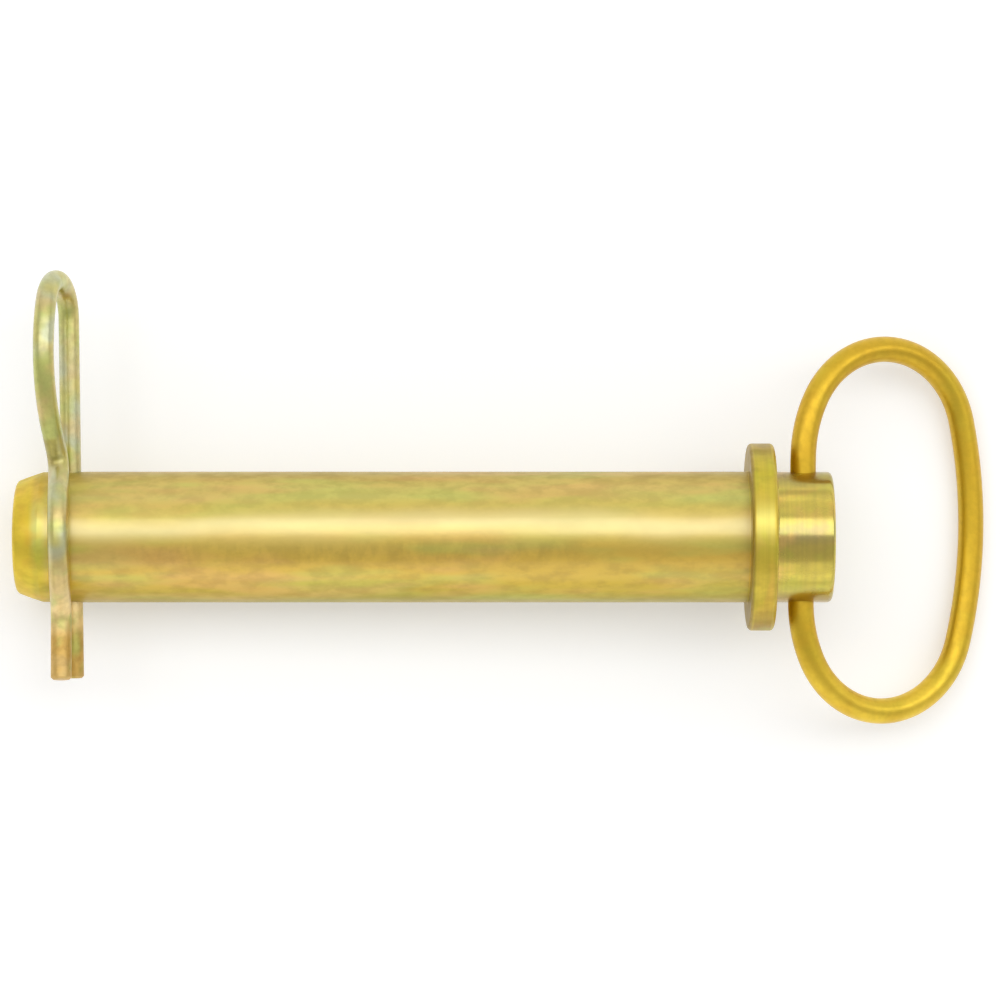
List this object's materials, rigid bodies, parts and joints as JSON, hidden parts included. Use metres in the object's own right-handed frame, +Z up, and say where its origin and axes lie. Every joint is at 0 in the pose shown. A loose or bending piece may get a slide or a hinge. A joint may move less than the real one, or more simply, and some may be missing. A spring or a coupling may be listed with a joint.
{
  "type": "hitch pin",
  "caption": "Collared hitch pin with a tapered tip, a swinging oval wire pull handle and a hairpin clip through a cross hole near the tip.",
  "frame": {"origin": "on the pin's axis, at the centre of the collar's bearing face", "axes": "-X runs along the shank to the tapered tip, +X to the head boss and the handle, the cross holes run along Y with the clip's bow at +Y, and +Z is up with the pin lying on its side"},
  "size_m": [0.1896, 0.0881, 0.0382],
  "materials": {
    "pin_plating": "yellow chromate over bright zinc, glossy with soft green and pink iridescence",
    "handle_plating": "yellow chromate over zinc, deeper gold, satin",
    "clip_plating": "pale yellow chromate over bright zinc, glossy, greenish with pink patches"
  },
  "bodies": {
    "pin": {"pin_body": "pin_plating"},
    "handle": {"pull_handle": "handle_plating"},
    "clip": {"hairpin_clip": "clip_plating"}
  },
  "joints": [
    {"name": "handle_swing", "type": "hinge", "parent": "pin", "child": "handle", "pos_m": [0.0106, 0, 0], "axis": [0, 1, 0], "range_deg": [-183, 129]},
    {"name": "clip_pull", "type": "slide", "parent": "pin", "child": "clip", "axis": [-0.014, 0.9999, 0], "range_m": [0, 0.045], "deforming": ["hairpin_clip"]}
  ]
}
